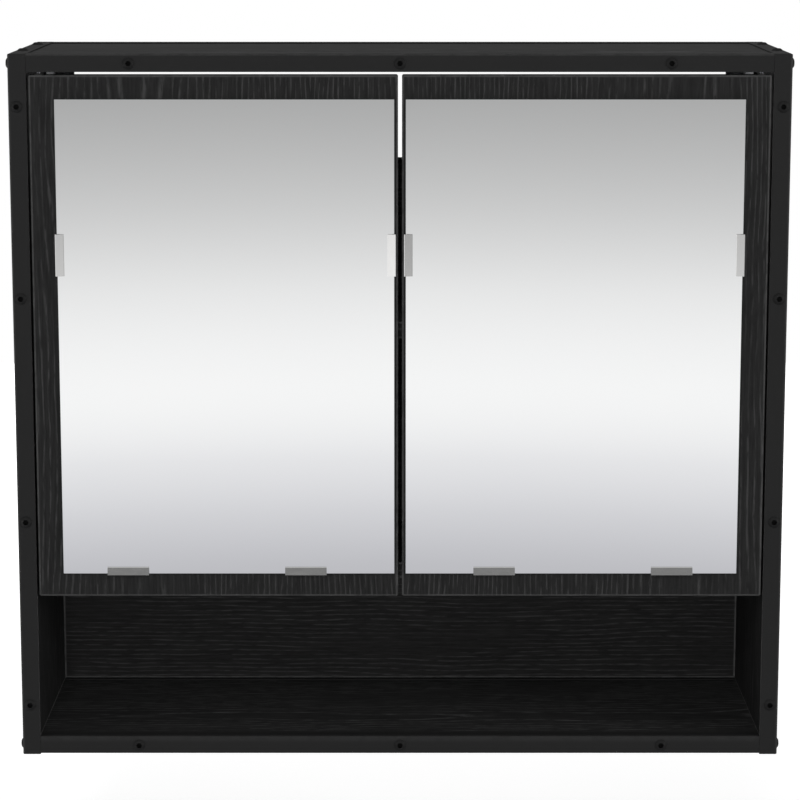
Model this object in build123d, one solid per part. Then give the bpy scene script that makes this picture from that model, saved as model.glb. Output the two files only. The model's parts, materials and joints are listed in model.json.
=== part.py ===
from build123d import *
from math import hypot
import os

# Wall-hung mirror cabinet: boards dressed with steel angle, two mirror doors, an open niche below.
# X runs right, the front faces -Y, Z is up. The origin lies on the wall, midway between the two
# wall screws. The pieces are drawn from the bottom of the frame up and lowered at the end.

# Overall size of the steel frame
frame_width = 645
frame_depth = 197
frame_height = 596

# Steel angle
leg = 15
sheet = 1
bend = 1.5
butt_gap = 0.3

# Boards: the decks and sides fill the angle, so its inside sets their thickness
board = leg - sheet
edge_break = 0.8
shelf_thickness = 14
divider_thickness = 14
divider_height = 150
divider_housing = 3
shelf_height = 356
shelf_setback = 25
shelf_side_gap = 1
back_thickness = 6
back_setback = 5
back_top_drop = 102
back_groove = 5
groove_fit = 0.25

# Doors and mirrors
door_thickness = 15
door_overhang = 11
door_top_gap = 2.5
door_side_gap = 2
door_centre_gap = 3.3
door_edge_break = 1
mirror_thickness = 3
mirror_edge_break = 0.4
mirror_outer_margin = 21
mirror_inner_margin = 2.85
mirror_bottom_margin = 20
mirror_top_margin = 19.5

# Mirror clips, bent from strip
clip_length = 35
clip_sheet = 1
clip_lip = 6
clip_tail = 10
clip_bend = 0.4
clip_play = 0.1
clip_spring = 1
side_clip_drop = 148.5
bottom_clip_spacing = 150
bottom_clip_shift = 10

# Door pivots: steel pins turning in plain bushes. The lower pin stands in the finger of a plate on
# the divider, and the finger reaches into a slot in the back of the door.
pivot_inset = 8
pivot_setback = 6
pin_radius = 2
pin_root = 10
pin_reach = 12
bush_wall = 1.5
bush_length = 14
bush_proud = 1
bush_play = 0.3
pin_recess = 1
bracket_plate = 2
bracket_reach = 20
bracket_depth = 28
bracket_cut = 4
finger_wall = 1
finger_play = 0.8
finger_lean = 1.1
slot_gap = 0.5
running_fit = 0.05
swing_gap = 0.3

# Domed socket screws
head_radius = 5
head_height = 2.5
socket_flats = 4
socket_depth = 1.5
shank_radius = 1.75
upright_screw_length = 30
rail_screw_length = 30
corner_screw_length = 18
deck_screw_length = 40
screw_line = 7
rail_screw_drop = 8
rail_screw_spacing = 223
upright_screw_end = 43.5
upright_screw_inner = 203
deck_screw_spacing = 100
corner_screw_inset = 7.5

# Wall brackets
wall_screw_drop = 35
wall_hole_radius = 3
wall_hole_inset = 12.5
wall_plate = 2
wall_leg = 18
wall_arm = 73
wall_plate_height = 30
wall_plate_cut = 4

# Shelf pins and magnet catches
shelf_pin_radius = 2.5
shelf_pin_root = 9
shelf_pin_reach = 8
shelf_pin_front = 55
shelf_pin_rear = 42
shelf_pin_play = 0.1
magnet_radius = 4.5
magnet_length = 13
magnet_gap = 0.3
magnet_offset = 32
strike_width = 20
strike_height = 12
strike_thickness = 0.8
strike_cut = 2

# Clearance of every screw and pin in its drilled hole
hole_fit = 0.05

# A threaded shank is drawn as a prism with this many sides
shank_sides = 8

# Places that follow from the sizes above
half_width = frame_width / 2
front = -frame_depth
panel_inner = half_width - leg
deck_underside = frame_height - leg
door_width = panel_inner - door_side_gap - door_centre_gap / 2
door_top = deck_underside - door_top_gap
door_bottom = divider_height - door_overhang
door_outer = panel_inner - door_side_gap
door_back = front + door_thickness
pivot_x = -(door_outer - pivot_inset)
pivot_y = front + pivot_setback
bush_radius = pin_radius + bush_wall
finger_half = pin_radius + finger_wall
slot_half = max(finger_half + finger_play, bush_radius + bush_play)
swing_radius = hypot(pivot_inset, door_thickness - pivot_setback)
divider_setback = pivot_setback + swing_radius + swing_gap
magnet_proud = divider_setback - door_thickness - strike_thickness - magnet_gap
mirror_outer = -door_outer + mirror_outer_margin
mirror_inner = -door_outer + door_width - mirror_inner_margin
mirror_bottom = door_bottom + mirror_bottom_margin
mirror_top = door_top - mirror_top_margin
wall_screw_height = frame_height - wall_screw_drop
back_top = frame_height - back_top_drop
divider_top = divider_height + divider_thickness
divider_front = front + divider_setback
bracket_top = divider_top + bracket_plate
slot_bottom = divider_top - slot_gap
slot_top = bracket_top + running_fit + bush_proud
back_front = -back_setback - back_thickness

sides = {"left": -1, "right": 1}
other_side = Plane.YZ
other_depth = Plane.XZ.offset(frame_depth / 2)
other_height = Plane.XY.offset(frame_height / 2)

parts = {}


def facing(x, y, z, direction):
    """A place on a surface whose outward side is the given direction."""
    return Plane(origin=(x, y, z), z_dir=direction).location


def block(x_span, y_span, z_span):
    """A box between pairs of coordinates."""
    size = [span[1] - span[0] for span in (x_span, y_span, z_span)]
    corner = Pos(x_span[0], y_span[0], z_span[0])
    return corner * Box(*size, align=(Align.MIN, Align.MIN, Align.MIN))


def edged_board(x_span, y_span, z_span, cut=edge_break):
    """A board with its edges broken."""
    panel = block(x_span, y_span, z_span)
    return chamfer(panel.edges(), cut)


def peg(radius, length):
    """A round peg from the surface inwards."""
    return Cylinder(radius, length, align=(Align.CENTER, Align.CENTER, Align.MAX))


def shank(radius, length):
    """The prism of a threaded shank, from the surface inwards."""
    return extrude(RegularPolygon(radius, shank_sides), -length)


def drilled(piece, places, radius, depth):
    """The piece with a round hole at each place."""
    for place in places:
        piece = piece - place * peg(radius + hole_fit, depth)
    return piece


def screwed(piece, places, depth):
    """The piece with a screw hole at each place."""
    for place in places:
        piece = piece - place * shank(shank_radius + hole_fit, depth)
    return piece


def angle_bar(length):
    """Steel angle with its outer corner on the Z axis and its legs along +X and +Y."""
    outer = Rectangle(leg, leg, align=(Align.MIN, Align.MIN))
    inner = Pos(sheet, sheet) * Rectangle(leg, leg, align=(Align.MIN, Align.MIN))
    profile = outer - inner
    corner = profile.vertices().sort_by_distance((0, 0))[0]
    return extrude(fillet(corner, bend), length)


def dome_screw(length):
    """A domed socket screw, its head standing on the XY plane."""
    dome = TangentArc((0, head_height), (head_radius, 0), tangent=(1, 0))
    flat = Polyline((head_radius, 0), (0, 0), (0, head_height))
    head = revolve(Plane.XZ * make_face([dome, *flat.edges()]), Axis.Z)
    socket = extrude(RegularPolygon(socket_flats / 2, 6, major_radius=False), head_height)
    head = head - Pos(0, 0, head_height - socket_depth) * socket
    return head + shank(shank_radius, length)


# Fastener places
upright_screw_levels = [
    upright_screw_end,
    upright_screw_inner,
    frame_height - upright_screw_inner,
    frame_height - upright_screw_end,
]
deck_middles = [sheet + board / 2, frame_height - sheet - board / 2]
rail_screw_levels = [leg + sheet - rail_screw_drop, frame_height - rail_screw_drop]
corner_screw_depths = [front + corner_screw_inset, -corner_screw_inset]
deck_screw_depths = [-frame_depth / 2 - deck_screw_spacing / 2, -frame_depth / 2 + deck_screw_spacing / 2]


def upright_screw_places(sign):
    """Screws through the front face of an upright into the edge of the side panel."""
    x = sign * (half_width - screw_line)
    return [facing(x, front, z, (0, -1, 0)) for z in upright_screw_levels]


def rail_screw_places(level):
    """Screws through the front face of a rail into the edge of a deck."""
    return [facing(x, front, level, (0, -1, 0)) for x in (-rail_screw_spacing, 0, rail_screw_spacing)]


def corner_screw_places(sign, depth):
    """Screws through the side face of an upright into the ends of the two decks."""
    return [facing(sign * half_width, depth, z, (sign, 0, 0)) for z in deck_middles]


def deck_screw_places(sign, level):
    """Screws through a side rail and its deck into the end of the side panel."""
    up = 1 if level > 0 else -1
    return [facing(sign * (half_width - screw_line), y, level, (0, 0, up)) for y in deck_screw_depths]


# Uprights of steel angle, between the flat legs of the side rails
def make_uprights():
    bar = Pos(-half_width, front, sheet) * angle_bar(frame_height - 2 * sheet)
    for name, sign in sides.items():
        front_bar = bar if sign < 0 else mirror(bar, about=other_side)
        rear_bar = mirror(front_bar, about=other_depth)
        front_places = upright_screw_places(sign) + corner_screw_places(sign, corner_screw_depths[0])
        rear_places = corner_screw_places(sign, corner_screw_depths[1])
        parts[f"{name}_front_upright"] = screwed(front_bar, front_places, leg)
        parts[f"{name}_rear_upright"] = screwed(rear_bar, rear_places, leg)


# Front and rear rails: a flat leg on top of the deck and a leg down its edge
def make_cross_rails():
    length = 2 * (panel_inner - butt_gap)
    turned = Plane(origin=(length / 2, front, 0), x_dir=(0, 1, 0), z_dir=(-1, 0, 0))
    bar = turned.location * angle_bar(length)
    tops = {"bottom": leg + sheet, "top": frame_height}
    for (name, top), level in zip(tops.items(), rail_screw_levels):
        rail = Pos(0, 0, top) * bar
        parts[f"{name}_rear_rail"] = mirror(rail, about=other_depth)
        parts[f"{name}_front_rail"] = screwed(rail, rail_screw_places(level), leg)


# Side rails: the flat leg runs over the ends of the uprights, the upright leg stops between them
def make_side_rails():
    turned = Plane(origin=(-half_width, front, frame_height), x_dir=(1, 0, 0), z_dir=(0, 1, 0))
    bar = turned.location * angle_bar(frame_depth)
    ends = (front, front + leg + butt_gap)
    cope = block((-half_width, -panel_inner), ends, (deck_underside, frame_height - sheet))
    bar = bar - cope - mirror(cope, about=other_depth)
    for name, sign in sides.items():
        top_rail = bar if sign < 0 else mirror(bar, about=other_side)
        bottom_rail = mirror(top_rail, about=other_height)
        top_places = deck_screw_places(sign, frame_height)
        parts[f"{name}_top_rail"] = screwed(top_rail, top_places, leg)
        parts[f"{name}_bottom_rail"] = screwed(bottom_rail, deck_screw_places(sign, 0), leg)


# Top and bottom decks
def make_decks():
    wide = half_width - sheet
    levels = {"bottom_deck": (sheet, leg), "top_deck": (deck_underside, frame_height - sheet)}
    for name, span in levels.items():
        deck = edged_board((-wide, wide), (front + sheet, -sheet), span)
        top = name == "top_deck"
        rail_level = rail_screw_levels[1] if top else rail_screw_levels[0]
        deck = screwed(deck, rail_screw_places(rail_level), rail_screw_length)
        for sign in sides.values():
            corners = [corner_screw_places(sign, depth)[top] for depth in corner_screw_depths]
            deck = screwed(deck, corners, corner_screw_length)
            through = deck_screw_places(sign, frame_height if top else 0)
            deck = screwed(deck, through, leg + sheet)
        parts[name] = deck
    pin_seats = [facing(sign * pivot_x, pivot_y, deck_underside, (0, 0, -1)) for sign in sides.values()]
    parts["top_deck"] = drilled(parts["top_deck"], pin_seats, pin_radius, pin_root)


def shelf_pin_places(sign):
    """Shelf pins in the inner face of a side panel."""
    level = shelf_height - shelf_pin_radius - shelf_pin_play
    depths = (front + shelf_pin_front, -shelf_pin_rear)
    return [facing(sign * panel_inner, y, level, (-sign, 0, 0)) for y in depths]


# Side panels, grooved for the back panel and housed for the divider
def make_side_panels():
    groove = block(
        (-panel_inner - back_groove, -panel_inner),
        (back_front - groove_fit, -back_setback + groove_fit),
        (leg + sheet, deck_underside),
    )
    housing = block(
        (-panel_inner - divider_housing, -panel_inner),
        (front + divider_setback - groove_fit, back_front),
        (divider_height - groove_fit, divider_height + divider_thickness + groove_fit),
    )
    panel = edged_board((-half_width + sheet, -panel_inner), (front + sheet, -sheet), (leg, deck_underside))
    panel = panel - groove - housing
    for name, sign in sides.items():
        side = panel if sign < 0 else mirror(panel, about=other_side)
        side = screwed(side, upright_screw_places(sign), upright_screw_length)
        ends = deck_screw_places(sign, frame_height) + deck_screw_places(sign, 0)
        side = screwed(side, ends, deck_screw_length)
        side = drilled(side, shelf_pin_places(sign), shelf_pin_radius, shelf_pin_root)
        parts[f"{name}_side_panel"] = side


# Divider above the niche, its ends in the housings and magnets in its front edge
def make_divider():
    wide = panel_inner + divider_housing - groove_fit
    level = divider_height + divider_thickness / 2
    y_span = (front + divider_setback, back_front - groove_fit)
    divider = edged_board((-wide, wide), y_span, (divider_height, divider_height + divider_thickness))
    magnets = []
    for sign in sides.values():
        seat = facing(sign * magnet_offset, front + divider_setback, level, (0, -1, 0))
        divider = drilled(divider, [seat], magnet_radius, magnet_length)
        magnets.append(seat * Pos(0, 0, magnet_proud) * peg(magnet_radius, magnet_length + magnet_proud))
    parts["divider"] = divider
    parts["magnet_catches"] = magnets


# Inner shelf on four pins
def make_shelf():
    wide = panel_inner - shelf_side_gap
    y_span = (front + shelf_setback, back_front - groove_fit)
    z_span = (shelf_height, shelf_height + shelf_thickness)
    parts["inner_shelf"] = edged_board((-wide, wide), y_span, z_span)
    length = shelf_pin_root + shelf_pin_reach
    parts["shelf_pins"] = [
        place * Pos(0, 0, shelf_pin_reach) * peg(shelf_pin_radius, length)
        for sign in sides.values()
        for place in shelf_pin_places(sign)
    ]


# Back panel in the side grooves, standing on the rear rail and open above
def make_back_panel():
    wide = panel_inner + back_groove - groove_fit * 2
    parts["back_panel"] = edged_board((-wide, wide), (back_front, -back_setback), (leg + sheet, back_top))


# Wall brackets: an arm along the side panel and a leg flat on the wall
def make_wall_brackets():
    arm_end = -panel_inner + wall_plate
    bottom = wall_screw_height - wall_plate_height / 2
    z_span = (bottom, bottom + wall_plate_height)
    arm = block((-panel_inner, arm_end), (-wall_arm, 0), z_span)
    wall = block((-panel_inner, -panel_inner + wall_leg), (-wall_plate, 0), z_span)
    bracket = arm + wall
    arm_corners = bracket.edges().filter_by(Axis.X).group_by(Axis.Y)[0]
    bracket = chamfer(arm_corners, wall_plate_cut)
    leg_corners = bracket.edges().filter_by(Axis.Y).group_by(Axis.X)[-1]
    bracket = chamfer(leg_corners, wall_plate_cut)
    hole = facing(-panel_inner + wall_hole_inset, -wall_plate, wall_screw_height, (0, -1, 0))
    bracket = bracket - hole * peg(wall_hole_radius, wall_plate)
    for name, sign in sides.items():
        parts[f"{name}_wall_bracket"] = bracket if sign < 0 else mirror(bracket, about=other_side)


# Pivots: a pin under the top deck, and a bracket with a pin below the door
def make_pivots():
    x_span = (-panel_inner, -panel_inner + bracket_reach)
    y_span = (divider_front, divider_front + bracket_depth)
    z_span = (divider_top, bracket_top)
    plate = block(x_span, y_span, z_span)
    corners = plate.edges().filter_by(Axis.Z).group_by(Axis.X)[-1]
    plate = chamfer(corners, bracket_cut)
    finger = block((pivot_x - finger_half, pivot_x + finger_half), (pivot_y, divider_front), z_span)
    axis_top = facing(pivot_x, pivot_y, bracket_top, (0, 0, 1))
    bracket = plate + finger + axis_top * peg(finger_half, bracket_plate)
    bracket = drilled(bracket, [axis_top], pin_radius, bracket_plate)
    for name, sign in sides.items():
        parts[f"{name}_pivot_bracket"] = bracket if sign < 0 else mirror(bracket, about=other_side)
        x = -sign * pivot_x
        upper_tip = facing(x, pivot_y, door_top - pin_reach, (0, 0, -1))
        upper_length = pin_reach + door_top_gap + pin_root
        parts[f"{name}_upper_pivot_pin"] = upper_tip * peg(pin_radius, upper_length)
        lower_tip = facing(x, pivot_y, slot_top + pin_reach, (0, 0, 1))
        lower_length = slot_top + pin_reach - door_bottom - pin_recess
        parts[f"{name}_lower_pivot_pin"] = lower_tip * peg(pin_radius, lower_length)


# Mirror clip: tail under the glass, wall at its edge, lip over its face
def mirror_clip():
    """The edge of the glass lies on the Z axis, the door face on the XZ plane, the glass towards +X."""
    over = mirror_thickness + clip_play
    corners = [
        (clip_tail, clip_sheet),
        (-clip_play - clip_sheet, clip_sheet),
        (-clip_play - clip_sheet, -over - clip_sheet - clip_spring),
        (clip_lip, -over - clip_sheet),
        (clip_lip, -over),
        (-clip_play, -over - clip_spring),
        (-clip_play, 0),
        (clip_tail, 0),
    ]
    profile = make_face(Polyline(*corners, close=True))
    outer = [v for v in profile.vertices() if v.Y < -over - clip_sheet / 2]
    lip_corners = [v for v in outer if abs(v.X + clip_play) > clip_sheet / 2]
    return extrude(chamfer(lip_corners, clip_bend), clip_length / 2, both=True)


def clip_places():
    """Places of the left door's clips, side edges first."""
    level = door_top - side_clip_drop
    centre = (mirror_outer + mirror_inner) / 2 - bottom_clip_shift
    places = {
        "outer_clip": Pos(mirror_outer, front, level),
        "inner_clip": Pos(mirror_inner, front, level) * Rot(0, 180, 0),
    }
    for name, sign in sides.items():
        x = centre + sign * bottom_clip_spacing / 2
        places[f"{name}_foot_clip"] = Pos(x, front, mirror_bottom) * Rot(0, -90, 0)
    return places


# Doors, with blind bores for the bushes, slots for the pivot fingers and pockets for the clip tails
def make_doors():
    x_span = (-door_outer, -door_outer + door_width)
    panel = edged_board(x_span, (front, door_back), (door_bottom, door_top), door_edge_break)
    top_place = facing(pivot_x, pivot_y, door_top, (0, 0, 1))
    slot_place = facing(pivot_x, pivot_y, slot_top, (0, 0, -1))
    foot_place = facing(pivot_x, pivot_y, door_bottom, (0, 0, -1))
    panel = panel - block(
        (-door_outer - finger_play, pivot_x + slot_half),
        (pivot_y - finger_half - finger_lean, door_back + finger_play),
        (slot_bottom, slot_top),
    )
    panel = drilled(panel, [top_place, slot_place], bush_radius, bush_length)
    panel = drilled(panel, [foot_place], pin_radius, slot_top - door_bottom)
    clip = mirror_clip()
    pocket = block(
        (-clip_play * 2 - clip_sheet, clip_tail + clip_play),
        (0, clip_sheet + clip_play),
        (-clip_length / 2 - clip_play, clip_length / 2 + clip_play),
    )
    clips = []
    for place in clip_places().values():
        panel = panel - place * pocket
        clips.append(place * clip)
    glass = block(
        (mirror_outer, mirror_inner),
        (front - mirror_thickness, front),
        (mirror_bottom, mirror_top),
    )
    glass = chamfer(glass.edges(), mirror_edge_break)
    bush = peg(bush_radius, bush_length + bush_proud)
    bush = Pos(0, 0, bush_proud) * (bush - peg(pin_radius + running_fit, bush_length + bush_proud))
    strike_z = divider_height + divider_thickness / 2
    strike_face = Pos(-magnet_offset, door_back, strike_z) * Rot(-90, 0, 0)
    strike_outline = chamfer(Rectangle(strike_width, strike_height).vertices(), strike_cut)
    strike = extrude(strike_outline, strike_thickness)
    pieces = {
        "door_panel": panel,
        "mirror": glass,
        "upper_bush": top_place * bush,
        "lower_bush": slot_place * bush,
        "strike_plate": strike_face * strike,
    }
    for name, sign in sides.items():
        for piece_name, piece in pieces.items():
            parts[f"{name}_{piece_name}"] = piece if sign < 0 else mirror(piece, about=other_side)
        parts[f"{name}_mirror_clips"] = clips if sign < 0 else [mirror(c, about=other_side) for c in clips]


# Screws, grouped by what they hold
def make_screws():
    upright = [place for sign in sides.values() for place in upright_screw_places(sign)]
    parts["upright_screws"] = [place * dome_screw(upright_screw_length) for place in upright]
    rail = [place for level in rail_screw_levels for place in rail_screw_places(level)]
    parts["rail_screws"] = [place * dome_screw(rail_screw_length) for place in rail]
    corner = [
        place
        for sign in sides.values()
        for depth in corner_screw_depths
        for place in corner_screw_places(sign, depth)
    ]
    parts["corner_screws"] = [place * dome_screw(corner_screw_length) for place in corner]
    deck = [
        place
        for sign in sides.values()
        for level in (0, frame_height)
        for place in deck_screw_places(sign, level)
    ]
    parts["deck_screws"] = [place * dome_screw(deck_screw_length) for place in deck]


make_uprights()
make_cross_rails()
make_side_rails()
make_decks()
make_side_panels()
make_divider()
make_shelf()
make_back_panel()
make_wall_brackets()
make_pivots()
make_doors()
make_screws()

# Each node is written with the wall screws at the height of the origin
os.makedirs("parts", exist_ok=True)
lowered = Pos(0, 0, -wall_screw_height)
for node, shape in parts.items():
    solids = shape if isinstance(shape, list) else [shape]
    placed = [lowered * piece for piece in solids]
    export_step(Compound(children=placed) if len(placed) > 1 else placed[0], f"parts/{node}.step")
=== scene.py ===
import bmesh
import bpy
import json
import math
from mathutils import Matrix, Vector


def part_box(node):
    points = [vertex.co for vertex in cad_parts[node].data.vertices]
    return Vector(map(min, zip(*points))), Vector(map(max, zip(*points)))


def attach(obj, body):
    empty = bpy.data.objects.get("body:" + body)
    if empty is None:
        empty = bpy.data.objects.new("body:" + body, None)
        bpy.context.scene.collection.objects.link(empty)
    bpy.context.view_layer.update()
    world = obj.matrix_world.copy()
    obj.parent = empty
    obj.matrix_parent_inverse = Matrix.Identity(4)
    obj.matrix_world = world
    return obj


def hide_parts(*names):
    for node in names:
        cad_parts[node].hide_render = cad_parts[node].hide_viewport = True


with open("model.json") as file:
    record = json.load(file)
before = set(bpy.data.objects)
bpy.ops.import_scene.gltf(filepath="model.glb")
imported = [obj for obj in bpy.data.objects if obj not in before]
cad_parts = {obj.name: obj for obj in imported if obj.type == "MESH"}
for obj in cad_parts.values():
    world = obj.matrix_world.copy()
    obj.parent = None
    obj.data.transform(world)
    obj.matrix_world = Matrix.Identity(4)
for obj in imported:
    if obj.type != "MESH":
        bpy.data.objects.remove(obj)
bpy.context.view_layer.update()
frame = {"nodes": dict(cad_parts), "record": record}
nodes = frame["nodes"]

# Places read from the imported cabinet, in metres
frame_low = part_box("left_bottom_rail")[0]
frame_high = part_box("right_top_rail")[1]
front_face = frame_low.y
glass_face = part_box("left_mirror")[0].y
frame_bottom = frame_low.z
frame_top = frame_high.z
half_width = frame_high.x

# Camera of the photograph
camera_distance = 2.3676
camera_height = 0.7231
camera_pitch = 9.952
camera_lens = 129.18
sensor_width = 36.0

# Studio
floor_drop = 0.18
floor_front = 24.0
floor_back = 3.0
floor_half_width = 20.0
sky_light = 0.3
horizon_tone = 0.24
overhead_tone = 0.75
white = (1.0, 1.0, 1.0, 1.0)

# Lamps: place, width, power and whether reflections show them
lamps = {
    "Low_front_light": ((-0.2, -4.4, 0.0), 0.9, 73.0, False),
    "High_front_light": ((-0.3, -3.9, 2.1), 0.9, 34.0, True),
    "Right_light": ((2.6, -1.4, 0.1), 1.2, 24.0, True),
    "Left_light": ((-2.6, -1.4, 0.1), 1.2, 12.0, True),
    "Back_light": ((-1.2, 3.6, 1.3), 1.4, 80.0, False),
}

# The floor as the camera sees it: how far it is lifted to white near the cabinet and away from it
near_lift = 0.5
far_lift = 0.82
white_start = 0.5
white_end = 2.2

# Beside what the mirrors show, the pool of light is brighter to the left and darker to the right
pool_side_start = 0.125
pool_side_end = 0.19
pool_left_gain = 0.6
pool_right_loss = 0.3

# One over the distance from the mirrors, the tone there, and its blue tint
pool_stops = (
    (0.045, 0.25, 1.0),
    (0.09, 0.42, 1.0),
    (0.165, 0.64, 1.0),
    (0.236, 0.88, 1.0),
    (0.32, 1.0, 1.0),
    (0.38, 0.98, 1.0),
    (0.447, 0.85, 1.02),
    (0.55, 0.69, 1.04),
    (0.68, 0.53, 1.06),
    (0.9, 0.5, 1.04),
)

# Domed screws of the frame: where each row stands
screw_line = 0.007
upright_screw_levels = (0.0435, 0.203, 0.393, 0.5525)
rail_screw_spacing = 0.223
rail_screw_drop = 0.008
deck_screw_depths = (-0.1485, -0.0485)
corner_screw_depths = (-0.1895, -0.0075)
deck_middle = 0.008
rail_height = 0.016

# Screw sizes: head radius and height, socket flats and depth, and shank radius
frame_screw_size = (0.005, 0.0025, 0.0042, 0.0021, 0.00172)
small_screw_size = (0.0032, 0.0014, 0.0022, 0.0009, 0.0014)
strike_screw_size = (0.0019, 0.00025, 0.0013, 0.0002, 0.0009)
long_screw_length = 0.03
deck_screw_length = 0.04
corner_screw_length = 0.018
small_screw_length = 0.009
strike_screw_length = 0.008

# Small screws of the brackets and the strike plates: where they stand
angle_leg = 0.015
bracket_plate = 0.002
bracket_screw_depths = (-0.054, -0.03)
pivot_screw_setbacks = (0.006, 0.018)
strike_screw_offset = 0.0065


# Nodes
def calculator(tree):
    """A function that adds one Math node and gives its output."""

    def calc(operation, *values, clamp=False):
        node = tree.nodes.new("ShaderNodeMath")
        node.operation = operation
        node.use_clamp = clamp
        for socket, value in zip(node.inputs, values):
            if isinstance(value, bpy.types.NodeSocket):
                tree.links.new(value, socket)
            else:
                socket.default_value = value
        return node.outputs[0]

    return calc


def stretched(tree, vector, scale):
    """The vector times a scale for each axis."""
    node = tree.nodes.new("ShaderNodeVectorMath")
    node.operation = "MULTIPLY"
    tree.links.new(vector, node.inputs[0])
    node.inputs[1].default_value = scale
    return node.outputs[0]


def noise(tree, vector, scale, detail=2.0, roughness=0.5):
    node = tree.nodes.new("ShaderNodeTexNoise")
    tree.links.new(stretched(tree, vector, scale), node.inputs["Vector"])
    node.inputs["Scale"].default_value = 1.0
    node.inputs["Detail"].default_value = detail
    node.inputs["Roughness"].default_value = roughness
    return node.outputs["Fac"]


def ranged(tree, value, low, high, to_low=0.0, to_high=1.0, smooth=True):
    node = tree.nodes.new("ShaderNodeMapRange")
    node.interpolation_type = "SMOOTHSTEP" if smooth else "LINEAR"
    tree.links.new(value, node.inputs["Value"])
    node.inputs["From Min"].default_value = low
    node.inputs["From Max"].default_value = high
    node.inputs["To Min"].default_value = to_low
    node.inputs["To Max"].default_value = to_high
    return node.outputs["Result"]


def mixed(tree, factor, dark, light):
    """A colour between two others, which may be colours or sockets."""
    node = tree.nodes.new("ShaderNodeMix")
    node.data_type = "RGBA"
    tree.links.new(factor, node.inputs["Factor"])
    for socket, colour in ((node.inputs[6], dark), (node.inputs[7], light)):
        if isinstance(colour, bpy.types.NodeSocket):
            tree.links.new(colour, socket)
        else:
            socket.default_value = colour
    return node.outputs[2]


def grey(value):
    return (value, value, value, 1.0)


def group_ends(name, inputs, outputs):
    """A new shader group with its sockets, and its input and output nodes."""
    group = bpy.data.node_groups.new(name, "ShaderNodeTree")
    for label, kind in inputs:
        group.interface.new_socket(label, in_out="INPUT", socket_type=kind)
    for label, kind in outputs:
        group.interface.new_socket(label, in_out="OUTPUT", socket_type=kind)
    return group, group.nodes.new("NodeGroupInput"), group.nodes.new("NodeGroupOutput")


# Oak grain: growth rings round a log that runs along Z, drawn as broken rows of open pores
def oak_grain():
    group, given, made = group_ends(
        "Oak_grain",
        [("Vector", "NodeSocketVector"), ("Spacing", "NodeSocketFloat"), ("Wander", "NodeSocketFloat")],
        [("Tone", "NodeSocketFloat"), ("Height", "NodeSocketFloat")],
    )
    calc = calculator(group)
    place = given.outputs["Vector"]
    spacing = given.outputs["Spacing"]
    split = group.nodes.new("ShaderNodeSeparateXYZ")
    group.links.new(place, split.inputs[0])
    x, y, _ = split.outputs

    def sway(scale, detail, amount):
        return calc("MULTIPLY", calc("SUBTRACT", noise(group, place, scale, detail), 0.5), amount)

    radius = calc("SQRT", calc("ADD", calc("MULTIPLY", x, x), calc("MULTIPLY", y, y)))
    wander = sway((8, 8, 2.5), 2.0, given.outputs["Wander"])
    ripple = sway((60, 60, 12), 2.0, calc("MULTIPLY", spacing, 1.4))
    bent = calc("ADD", calc("ADD", radius, wander), ripple)
    turn = calc("FRACT", calc("DIVIDE", bent, spacing))
    middle = calc("MULTIPLY", calc("ABSOLUTE", calc("SUBTRACT", turn, 0.5)), 2.0)
    band = ranged(group, middle, 0.0, 0.46, 1.0, 0.0)
    pores = ranged(group, noise(group, place, (420, 420, 65), 3.0, 0.6), 0.36, 0.62, 0.0, 1.0)
    patch = ranged(group, noise(group, place, (28, 28, 7), 3.0), 0.36, 0.52, 0.25, 1.0)
    fibre = noise(group, place, (560, 560, 42), 3.0, 0.65)
    lines = calc("MULTIPLY", calc("MULTIPLY", band, pores), patch)
    soft = calc("MULTIPLY", calc("SUBTRACT", fibre, 0.36), 0.7)
    tone = calc("ADD", calc("MULTIPLY", lines, 0.85), soft, clamp=True)
    group.links.new(tone, made.inputs["Tone"])
    group.links.new(calc("SUBTRACT", 1.0, lines), made.inputs["Height"])
    return group


# Powder coat and moulded surfaces: a fine stipple over slow changes of tone
def fine_stipple():
    group, given, made = group_ends(
        "Fine_stipple",
        [("Vector", "NodeSocketVector"), ("Grain", "NodeSocketFloat")],
        [("Tone", "NodeSocketFloat"), ("Height", "NodeSocketFloat")],
    )
    calc = calculator(group)
    place = given.outputs["Vector"]
    fine = group.nodes.new("ShaderNodeTexNoise")
    group.links.new(place, fine.inputs["Vector"])
    group.links.new(given.outputs["Grain"], fine.inputs["Scale"])
    fine.inputs["Detail"].default_value = 2.0
    slow = noise(group, place, (14, 14, 14), 3.0)
    tone = calc("ADD", calc("MULTIPLY", slow, 0.7), calc("MULTIPLY", fine.outputs["Fac"], 0.3), clamp=True)
    group.links.new(tone, made.inputs["Tone"])
    group.links.new(fine.outputs["Fac"], made.inputs["Height"])
    return group


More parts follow.
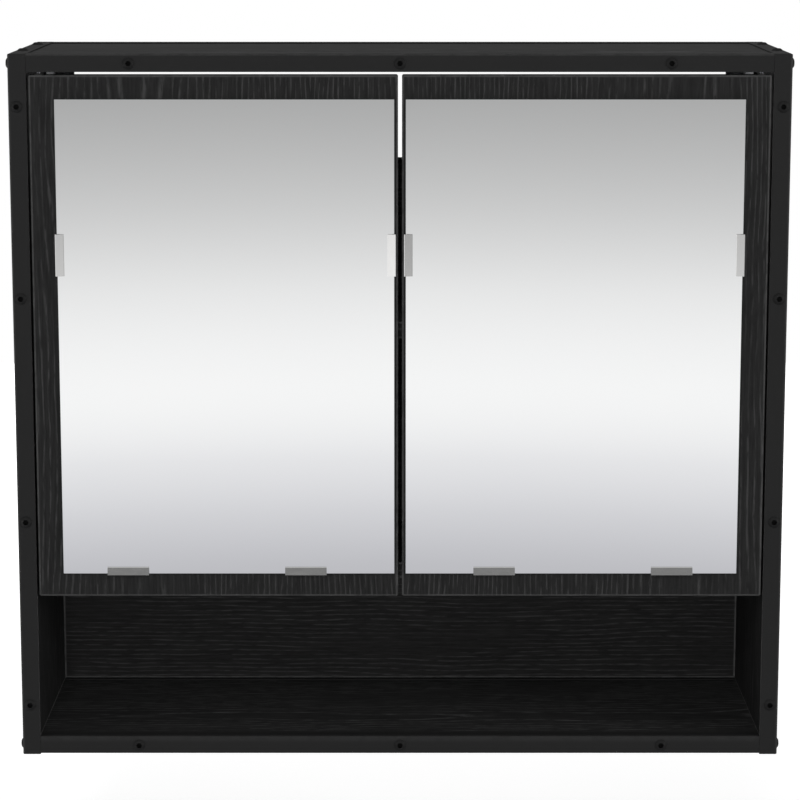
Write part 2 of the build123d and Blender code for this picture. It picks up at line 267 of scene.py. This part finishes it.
# Painted highlight: pale lines along the edges of a box, standing in for the light the edges catch, broken
# up by noise
def painted_edge_highlight():
    group, given, made = group_ends(
        "Painted_edge_highlight",
        [
            ("Vector", "NodeSocketVector"),
            ("Low", "NodeSocketVector"),
            ("High", "NodeSocketVector"),
            ("Width", "NodeSocketFloat"),
        ],
        [("Edge", "NodeSocketFloat")],
    )
    calc = calculator(group)
    place = given.outputs["Vector"]

    def apart(first, second):
        node = group.nodes.new("ShaderNodeVectorMath")
        node.operation = "SUBTRACT"
        group.links.new(first, node.inputs[0])
        group.links.new(second, node.inputs[1])
        split = group.nodes.new("ShaderNodeSeparateXYZ")
        group.links.new(node.outputs[0], split.inputs[0])
        return split.outputs

    from_low = apart(place, given.outputs["Low"])
    from_high = apart(given.outputs["High"], place)
    x, y, z = [calc("ABSOLUTE", calc("MINIMUM", near, far)) for near, far in zip(from_low, from_high)]
    second = calc("MAXIMUM", calc("MINIMUM", x, y), calc("MINIMUM", calc("MAXIMUM", x, y), z))
    close = calc("SUBTRACT", 1.0, calc("DIVIDE", second, given.outputs["Width"]), clamp=True)
    broken = ranged(group, noise(group, place, (120, 120, 120), 3.0), 0.3, 0.6, 0.5, 1.0)
    sharp = ranged(group, close, 0.0, 0.6)
    group.links.new(calc("MULTIPLY", sharp, broken), made.inputs["Edge"])
    return group


oak_grain_group = oak_grain()
fine_stipple_group = fine_stipple()
painted_edge_highlight_group = painted_edge_highlight()


# Oak: its shine, its roughness from stain to pore, and the strength and depth of its relief
oak_shine = 0.14
oak_roughness = (0.74, 0.58)
oak_relief = (0.35, 0.0002)

# Steel: the strength and depth of its relief
coat_relief = (0.12, 0.0001)
metal_relief = (0.06, 0.00005)

# Mirror: the silver, the ground edge and how much rougher it is, and how far from the face silver shows
silver_tones = ((0.905, 0.912, 0.915, 1.0), (0.93, 0.934, 0.934, 1.0))
silver_roughness = (0.012, 0.022)
ground_tone = (0.05, 0.058, 0.056, 1.0)
ground_roughness = 0.2
silver_depth = 0.00003


# Materials
def new_material(name):
    """A material with its tree, its shader and the object's own coordinates."""
    material = bpy.data.materials.new(name)
    material.use_nodes = True
    tree = material.node_tree
    shader = tree.nodes["Principled BSDF"]
    place = tree.nodes.new("ShaderNodeTexCoord").outputs["Object"]
    return material, tree, shader, place


def use_group(tree, group, vector, **values):
    node = tree.nodes.new("ShaderNodeGroup")
    node.node_tree = group
    tree.links.new(vector, node.inputs["Vector"])
    for label, value in values.items():
        node.inputs[label].default_value = value
    return node.outputs


def with_painted_highlight(tree, place, box, colour, highlight_colour, width):
    """The colour, with a painted highlight along the edges of a box."""
    low, high = box
    edge = use_group(tree, painted_edge_highlight_group, place, Low=low, High=high, Width=width)["Edge"]
    return mixed(tree, edge, colour, highlight_colour)


def bump(tree, shader, height, strength, depth):
    node = tree.nodes.new("ShaderNodeBump")
    node.inputs["Strength"].default_value = strength
    node.inputs["Distance"].default_value = depth
    tree.links.new(height, node.inputs["Height"])
    tree.links.new(node.outputs["Normal"], shader.inputs["Normal"])


def oak_board(name, box, along, heart, spacing, wander, tones):
    """Black-stained oak-look board. along is the axis of the grain and heart the log's place."""
    material, tree, shader, place = new_material(name)
    turned = tree.nodes.new("ShaderNodeMapping")
    turned.vector_type = "TEXTURE"
    turned.inputs["Location"].default_value = heart
    turned.inputs["Rotation"].default_value = (0.0, math.radians(90.0 if along == "X" else 0.0), 0.0)
    tree.links.new(place, turned.inputs["Vector"])
    grain = use_group(tree, oak_grain_group, turned.outputs["Vector"], Spacing=spacing, Wander=wander)
    # The third tone is the colour of the painted edge highlight
    dark, light, edge = tones
    colour = mixed(tree, grain["Tone"], dark, light)
    tree.links.new(with_painted_highlight(tree, place, box, colour, edge, edge_width), shader.inputs["Base Color"])
    tree.links.new(ranged(tree, grain["Tone"], 0.0, 1.0, *oak_roughness, False), shader.inputs["Roughness"])
    shader.inputs["Specular IOR Level"].default_value = oak_shine
    bump(tree, shader, grain["Height"], *oak_relief)
    return material


def coated_steel(
    name,
    dark,
    light,
    specular=0.16,
    roughness=(0.64, 0.74),
    stipple=1700.0,
    box=None,
    painted_edges=None,
):
    """Powder-coated or blackened steel. The last argument is the colour and width of the painted highlight
    along its edges.
    """
    material, tree, shader, place = new_material(name)
    coat = use_group(tree, fine_stipple_group, place, Grain=stipple)
    colour = mixed(tree, coat["Tone"], dark, light)
    if box:
        colour = with_painted_highlight(tree, place, box, colour, *painted_edges)
    tree.links.new(colour, shader.inputs["Base Color"])
    tree.links.new(ranged(tree, coat["Tone"], 0.3, 0.7, *roughness, False), shader.inputs["Roughness"])
    shader.inputs["Specular IOR Level"].default_value = specular
    bump(tree, shader, coat["Height"], *coat_relief)
    return material


def bare_metal(name, dark, light, roughness, drawn):
    """Plated or turned metal, with fine marks drawn out along one axis."""
    material, tree, shader, place = new_material(name)
    marks = noise(tree, place, drawn, 3.0, 0.6)
    tree.links.new(mixed(tree, marks, dark, light), shader.inputs["Base Color"])
    tree.links.new(ranged(tree, marks, 0.3, 0.7, *roughness, False), shader.inputs["Roughness"])
    shader.inputs["Metallic"].default_value = 1.0
    bump(tree, shader, marks, *metal_relief)
    return material


def silvered_glass():
    """Silver over the face, and dark ground glass on the thin edges."""
    material, tree, shader, place = new_material("Silvered_glass")
    calc = calculator(tree)
    split = tree.nodes.new("ShaderNodeSeparateXYZ")
    tree.links.new(place, split.inputs[0])
    face = calc("LESS_THAN", split.outputs["Y"], glass_face + silver_depth)
    haze = noise(tree, place, (5, 5, 5), 3.0)
    silver = mixed(tree, haze, *silver_tones)
    tree.links.new(mixed(tree, face, ground_tone, silver), shader.inputs["Base Color"])
    tree.links.new(face, shader.inputs["Metallic"])
    polish = ranged(tree, haze, 0.3, 0.7, *silver_roughness, False)
    ground = calc("MULTIPLY", calc("SUBTRACT", 1.0, face), ground_roughness)
    tree.links.new(calc("ADD", polish, ground), shader.inputs["Roughness"])
    return material


# Painted highlight along the edges: its width on the boards, and its colour and width on the steel angles
# and on the sill, where it is wider and paints a sheen over the flat leg
edge_width = 0.002
coat_painted_edges = (grey(0.03), edge_width)
sill_painted_edges = (grey(0.0175), 0.006)

# Oak: the dark of the stain, the pale of the pores and the painted edge highlight
door_tones = (grey(0.0082), grey(0.034), grey(0.052))
side_tones = (grey(0.0085), grey(0.036), grey(0.14))
# Painted light: the inner boards below are lighter copies of the door oak, standing in for the light that
# reaches inside
painted_lit_board_tones = (grey(0.011), grey(0.04), grey(0.06))
painted_lit_back_tones = (grey(0.0105), grey(0.037), grey(0.06))
painted_lit_deck_tones = (grey(0.0135), grey(0.085), grey(0.06))
coat_tones = (grey(0.0093), grey(0.0133))

# Sides whose shared edges get the painted highlight: the bend of each steel angle, and both edges of the
# sill
highlighted_sides = {
    "top_front_rail": "-y+z",
    "bottom_front_rail": "-y+y+z",
    "top_rear_rail": "+y+z",
    "bottom_rear_rail": "+y+z",
    "left_top_rail": "-x+z",
    "right_top_rail": "+x+z",
    "left_bottom_rail": "-x-z",
    "right_bottom_rail": "+x-z",
    "left_front_upright": "-x-y",
    "right_front_upright": "+x-y",
    "left_rear_upright": "-x+y",
    "right_rear_upright": "+x+y",
}
let_out = 0.05


def highlighted_box(node):
    """The box whose edges get the painted highlight: the part of a board that shows, let out on the sides
    without it.
    """
    low, high = [corner.copy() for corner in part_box(node)]
    if node == "back_panel":
        low.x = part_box("left_side_panel")[1].x
        high.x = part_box("right_side_panel")[0].x
    if node.endswith("side_panel"):
        low.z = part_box("bottom_deck")[1].z
    for axis, letter in enumerate("xyz"):
        if node in highlighted_sides and "-" + letter not in highlighted_sides[node]:
            low[axis] -= let_out
        if node in highlighted_sides and "+" + letter not in highlighted_sides[node]:
            high[axis] += let_out
    return low, high


# Grain of each board: its axis, the log's place, the ring spacing, its wander and the tones
board_grain = {
    "left_door_panel": ("Z", (-0.215, -0.15, -0.1), 0.004, 0.03, door_tones),
    "right_door_panel": ("Z", (0.235, -0.155, 0.35), 0.004, 0.03, door_tones),
    "left_side_panel": ("Z", (-0.27, -0.06, 0.2), 0.005, 0.03, side_tones),
    "right_side_panel": ("Z", (0.28, -0.14, -0.3), 0.005, 0.03, side_tones),
    "top_deck": ("X", (0.1, -0.15, -0.05), 0.0035, 0.02, painted_lit_board_tones),
    "bottom_deck": ("X", (0.4, -0.13, -0.575), 0.0035, 0.03, painted_lit_deck_tones),
    "divider": ("X", (-0.2, -0.1, -0.46), 0.0035, 0.02, painted_lit_board_tones),
    "inner_shelf": ("X", (0.2, -0.05, -0.24), 0.0035, 0.02, painted_lit_board_tones),
    "back_panel": ("X", (-0.3, 0.02, -0.75), 0.0042, 0.016, painted_lit_back_tones),
}

# Bare metals: the darker and lighter colour of each
nickel_tones = ((0.66, 0.658, 0.652, 1.0), (0.72, 0.718, 0.712, 1.0))
zinc_tones = ((0.42, 0.43, 0.44, 1.0), (0.58, 0.59, 0.6, 1.0))
blued_tones = ((0.09, 0.09, 0.1, 1.0), (0.15, 0.15, 0.16, 1.0))

black_oxide = coated_steel("Black_oxide", grey(0.0072), grey(0.0098), 0.14, (0.54, 0.64), 2600.0)
# Painted shade: the inside of each screw socket is darker than the head, standing in for the shade in the
# hole
socket_painted_shade = coated_steel("Socket_painted_shade", grey(0.0028), grey(0.0042), 0.05, (0.7, 0.8), 2600.0)
black_moulding = coated_steel("Black_moulding", grey(0.012), grey(0.017), 0.3, (0.5, 0.6), 2200.0)
nickel = bare_metal("Nickel", *nickel_tones, (0.1, 0.15), (90, 2500, 90))
zinc = bare_metal("Zinc", *zinc_tones, (0.42, 0.58), (160, 900, 160))
blued_steel = bare_metal("Blued_steel", *blued_tones, (0.3, 0.42), (900, 900, 5000))
mirror_silver = silvered_glass()

finishes = {
    "black_screw": black_oxide,
    "bush_plastic": black_moulding,
    "clip_metal": nickel,
    "zinc_steel": zinc,
    "pin_steel": blued_steel,
    "mirror_glass": mirror_silver,
}


def finish_of(node, slot):
    """The node's material. Boards and steel angles have one each, with a painted highlight along their own
    edges.
    """
    if node in board_grain:
        return oak_board(f"Oak_{node}", highlighted_box(node), *board_grain[node])
    if slot == "black_steel":
        # Painted highlight along the steel's edges, wider on the sill as a painted sheen
        painted_edges = sill_painted_edges if node == "bottom_front_rail" else coat_painted_edges
        return coated_steel(f"Coat_{node}", *coat_tones, box=highlighted_box(node), painted_edges=painted_edges)
    return finishes[slot]


for part in frame["record"]["subparts"]:
    mesh = nodes[part["node"]].data
    mesh.materials.clear()
    mesh.materials.append(finish_of(part["node"], part["material_slot"]))


# Socket screws, spun from half a profile, with a six-sided socket
spin_steps = 48
arc_steps = 8
land_ratio = 1.1
sharp_angle = 30.0


def socket_screw(head_radius, head_height, flats, depth, shank_radius, length):
    """One screw with its head standing on the XY plane."""
    shape = bmesh.new()
    corner = flats / math.sqrt(3.0)
    land = corner * land_ratio
    ball = (head_radius**2 + head_height**2) / (2.0 * head_height)
    start = math.asin(land / ball)
    end = math.asin(head_radius / ball)
    rows = []
    for step in range(arc_steps + 1):
        angle = start + (end - start) * step / arc_steps
        rows.append((ball * math.sin(angle), head_height - ball + ball * math.cos(angle)))
    rows += [(shank_radius, 0.0), (shank_radius, -length + shank_radius * 2.0)]
    points = [shape.verts.new((r, 0.0, z)) for r, z in rows]
    tip = shape.verts.new((0.0, 0.0, -length))
    profile = [shape.edges.new(pair) for pair in zip(points, points[1:] + [tip])]
    bmesh.ops.spin(
        shape,
        geom=points + [tip] + profile,
        cent=(0.0, 0.0, 0.0),
        axis=(0.0, 0.0, 1.0),
        angle=2.0 * math.pi,
        steps=spin_steps,
        use_merge=True,
    )
    bmesh.ops.remove_doubles(shape, verts=shape.verts[:], dist=1e-7)
    rim_edges = [e for e in shape.edges if e.is_boundary]
    mouth = bmesh.ops.extrude_edge_only(shape, edges=rim_edges)["geom"]
    for vert in mouth:
        if isinstance(vert, bmesh.types.BMVert):
            turn = math.atan2(vert.co.y, vert.co.x) % (math.pi / 3.0) - math.pi / 6.0
            vert.co.xy = vert.co.xy.normalized() * flats / 2.0 / math.cos(turn)
    lip = [e for e in shape.edges if e.is_boundary]
    wall = bmesh.ops.extrude_edge_only(shape, edges=lip)["geom"]
    floor_verts = [v for v in wall if isinstance(v, bmesh.types.BMVert)]
    bmesh.ops.translate(shape, verts=floor_verts, vec=(0.0, 0.0, -depth))
    bottom = [e for e in shape.edges if e.is_boundary]
    floor_faces = bmesh.ops.holes_fill(shape, edges=bottom, sides=0)["faces"]
    # The socket's walls and floor take the second material, its painted shade
    for face in floor_faces + [f for f in wall if isinstance(f, bmesh.types.BMFace)]:
        face.material_index = 1
    bmesh.ops.recalc_face_normals(shape, faces=shape.faces[:])
    mesh = bpy.data.meshes.new("Socket_screw")
    shape.to_mesh(mesh)
    shape.free()
    return mesh


def facing(x, y, z, outward):
    """The matrix that stands a screw on a surface at a place."""
    turn = Vector(outward).to_track_quat("Z", "Y").to_matrix().to_4x4()
    return Matrix.Translation((x, y, z)) @ turn


def screw_set(name, places, mesh, body="cabinet", replaced=None, finish=black_oxide):
    """A piece that holds one screw at each place."""
    shape = bmesh.new()
    for place in places:
        before = len(shape.verts)
        shape.from_mesh(mesh)
        shape.verts.ensure_lookup_table()
        bmesh.ops.transform(shape, matrix=place, verts=shape.verts[before:])
    joined = bpy.data.meshes.new(name)
    shape.to_mesh(joined)
    shape.free()
    joined.set_sharp_from_angle(angle=math.radians(sharp_angle))
    joined.materials.append(finish)
    # The second material is the sockets' painted shade
    joined.materials.append(socket_painted_shade)
    piece = bpy.data.objects.new(name, joined)
    bpy.context.scene.collection.objects.link(piece)
    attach(piece, body)
    if replaced:
        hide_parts(replaced)


forward = (0.0, -1.0, 0.0)
backward = (0.0, 1.0, 0.0)
upward = (0.0, 0.0, 1.0)
long_screw = socket_screw(*frame_screw_size, long_screw_length)
deck_screw = socket_screw(*frame_screw_size, deck_screw_length)
corner_screw = socket_screw(*frame_screw_size, corner_screw_length)

upright_places = [
    facing(side * (half_width - screw_line), front_face, frame_bottom + level, forward)
    for side in (-1, 1)
    for level in upright_screw_levels
]
rail_places = [
    facing(x, front_face, level - rail_screw_drop, forward)
    for level in (frame_bottom + rail_height, frame_top)
    for x in (-rail_screw_spacing, 0.0, rail_screw_spacing)
]
deck_places = [
    facing(side * (half_width - screw_line), depth, level, (0.0, 0.0, up))
    for side in (-1, 1)
    for depth in deck_screw_depths
    for level, up in ((frame_bottom, -1.0), (frame_top, 1.0))
]
corner_places = [
    facing(side * half_width, depth, level, (side, 0.0, 0.0))
    for side in (-1, 1)
    for depth in corner_screw_depths
    for level in (frame_bottom + deck_middle, frame_top - deck_middle)
]
screw_set("Upright_socket_screws", upright_places, long_screw, replaced="upright_screws")
screw_set("Rail_socket_screws", rail_places, long_screw, replaced="rail_screws")
screw_set("Deck_socket_screws", deck_places, deck_screw, replaced="deck_screws")
screw_set("Corner_socket_screws", corner_places, corner_screw, replaced="corner_screws")

# Small screws of the brackets and the strike plates
small_screw = socket_screw(*small_screw_size, small_screw_length)
strike_screw = socket_screw(*strike_screw_size, strike_screw_length)

wall_bracket_places = []
pivot_bracket_places = []
for side, name in ((-1, "left"), (1, "right")):
    inward = (-side, 0.0, 0.0)
    arm_low, arm_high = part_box(f"{name}_wall_bracket")
    arm_face = side * (half_width - angle_leg - bracket_plate)
    middle = (arm_low.z + arm_high.z) / 2.0
    wall_bracket_places += [facing(arm_face, depth, middle, inward) for depth in bracket_screw_depths]
    pivot_low, pivot_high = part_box(f"{name}_pivot_bracket")
    pivot_x = (pivot_low.x + pivot_high.x) / 2.0
    pivot_bracket_places += [
        facing(pivot_x, pivot_high.y - setback, pivot_high.z, upward)
        for setback in pivot_screw_setbacks
    ]
    plate_low, plate_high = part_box(f"{name}_strike_plate")
    centre = (plate_low + plate_high) / 2.0
    strike_places = [
        facing(centre.x + offset, plate_high.y, centre.z, backward)
        for offset in (-strike_screw_offset, strike_screw_offset)
    ]
    screw_set(f"{name}_strike_screws", strike_places, strike_screw, f"{name}_door", None, zinc)
screw_set("Wall_bracket_screws", wall_bracket_places, small_screw, finish=zinc)
screw_set("Pivot_bracket_screws", pivot_bracket_places, small_screw)


# Floor, which shows white to the camera and a pool of light to the mirrors
def floor_material():
    material = bpy.data.materials.new("Pale_floor")
    material.use_nodes = True
    tree = material.node_tree
    tree.nodes.clear()
    calc = calculator(tree)
    place = tree.nodes.new("ShaderNodeTexCoord").outputs["Object"]
    split = tree.nodes.new("ShaderNodeSeparateXYZ")
    tree.links.new(place, split.inputs[0])
    ahead = calc("ABSOLUTE", calc("SUBTRACT", split.outputs["Y"], glass_face))
    across = split.outputs["X"]
    aside = calc("DIVIDE", across, calc("ADD", ahead, camera_distance))
    brighter = ranged(tree, aside, -pool_side_end, -pool_side_start, pool_left_gain, 0.0)
    darker = ranged(tree, aside, pool_side_start, pool_side_end, 0.0, -pool_right_loss)
    reach = calc("SQRT", calc("ADD", calc("MULTIPLY", ahead, ahead), calc("MULTIPLY", across, across)))
    pool = tree.nodes.new("ShaderNodeValToRGB")
    tree.links.new(calc("DIVIDE", 1.0, reach), pool.inputs["Fac"])
    ramp = pool.color_ramp
    ramp.interpolation = "B_SPLINE"
    for stop in list(ramp.elements)[1:]:
        ramp.elements.remove(stop)
    for index, (near, tone, blue) in enumerate(pool_stops):
        stop = ramp.elements[0] if index == 0 else ramp.elements.new(near)
        stop.position = near
        stop.color = (tone, tone, tone * blue, 1.0)
    shown = tree.nodes.new("ShaderNodeEmission")
    tree.links.new(pool.outputs["Color"], shown.inputs["Color"])
    tree.links.new(calc("ADD", calc("ADD", brighter, darker), 1.0), shown.inputs["Strength"])
    bounce = tree.nodes.new("ShaderNodeBsdfDiffuse")
    grain = noise(tree, place, (3, 3, 3), 3.0)
    tree.links.new(mixed(tree, grain, grey(0.76), grey(0.8)), bounce.inputs["Color"])
    lift = tree.nodes.new("ShaderNodeEmission")
    tree.links.new(ranged(tree, reach, white_start, white_end, near_lift, far_lift), lift.inputs["Strength"])
    pale = tree.nodes.new("ShaderNodeAddShader")
    tree.links.new(bounce.outputs[0], pale.inputs[0])
    tree.links.new(lift.outputs[0], pale.inputs[1])
    ray = tree.nodes.new("ShaderNodeLightPath")
    seen = tree.nodes.new("ShaderNodeMixShader")
    tree.links.new(ray.outputs["Is Camera Ray"], seen.inputs[0])
    tree.links.new(bounce.outputs[0], seen.inputs[1])
    tree.links.new(pale.outputs[0], seen.inputs[2])
    mirrored = tree.nodes.new("ShaderNodeMixShader")
    tree.links.new(ray.outputs["Is Glossy Ray"], mirrored.inputs[0])
    tree.links.new(seen.outputs[0], mirrored.inputs[1])
    tree.links.new(shown.outputs[0], mirrored.inputs[2])
    surface = tree.nodes.new("ShaderNodeOutputMaterial")
    tree.links.new(mirrored.outputs[0], surface.inputs["Surface"])
    return material


def make_floor():
    shape = bmesh.new()
    centre = Matrix.Translation((0.0, (floor_back - floor_front) / 2.0, frame_bottom - floor_drop))
    spread = Matrix.Diagonal((floor_half_width, (floor_back + floor_front) / 2.0, 1.0, 1.0))
    bmesh.ops.create_grid(shape, x_segments=8, y_segments=8, size=1.0, matrix=centre @ spread)
    mesh = bpy.data.meshes.new("Floor")
    shape.to_mesh(mesh)
    shape.free()
    mesh.materials.append(floor_material())
    floor = bpy.data.objects.new("Floor", mesh)
    bpy.context.scene.collection.objects.link(floor)


make_floor()


# Light
def area_light(name, place, target, width, power, mirrored):
    lamp = bpy.data.lights.new(name, "AREA")
    lamp.shape = "DISK"
    lamp.size = width
    lamp.energy = power
    lamp_object = bpy.data.objects.new(name, lamp)
    lamp_object.location = place
    aim = Vector(target) - Vector(place)
    lamp_object.rotation_euler = aim.to_track_quat("-Z", "Y").to_euler()
    lamp_object.visible_camera = False
    lamp_object.visible_glossy = mirrored
    bpy.context.scene.collection.objects.link(lamp_object)


object_middle = (0.0, front_face, (frame_bottom + frame_top) / 2.0)
for lamp_name, (place, width, power, mirrored) in lamps.items():
    area_light(lamp_name, place, object_middle, width, power, mirrored)


def make_world():
    world = bpy.data.worlds.new("Studio")
    world.use_nodes = True
    tree = world.node_tree
    calc = calculator(tree)
    sky = tree.nodes["Background"]
    sky.inputs["Color"].default_value = white
    ray = tree.nodes.new("ShaderNodeLightPath")
    seen = calc("MAXIMUM", ray.outputs["Is Camera Ray"], ray.outputs["Is Transmission Ray"])
    direction = tree.nodes.new("ShaderNodeTexCoord").outputs["Generated"]
    split = tree.nodes.new("ShaderNodeSeparateXYZ")
    tree.links.new(direction, split.inputs[0])
    overhead = ranged(tree, split.outputs["Z"], 0.0, 1.0, horizon_tone, overhead_tone, False)
    shiny = ray.outputs["Is Glossy Ray"]
    mirrored = calc("MULTIPLY", shiny, overhead)
    plain = calc("MULTIPLY", calc("SUBTRACT", 1.0, shiny), sky_light)
    around = calc("ADD", mirrored, plain)
    unseen = calc("MULTIPLY", calc("SUBTRACT", 1.0, seen), around)
    tree.links.new(calc("ADD", seen, unseen), sky.inputs["Strength"])
    bpy.context.scene.world = world


make_world()
bpy.context.scene.view_settings.view_transform = "Standard"

# Camera, above the cabinet and pitched down
camera_data = bpy.data.cameras.new("Camera")
camera_data.lens = camera_lens
camera_data.sensor_width = sensor_width
camera = bpy.data.objects.new("Camera", camera_data)
camera.location = (0.0, front_face - camera_distance, frame_bottom + camera_height)
camera.rotation_euler = (math.radians(90.0 - camera_pitch), 0.0, 0.0)
bpy.context.scene.collection.objects.link(camera)
bpy.context.scene.camera = camera
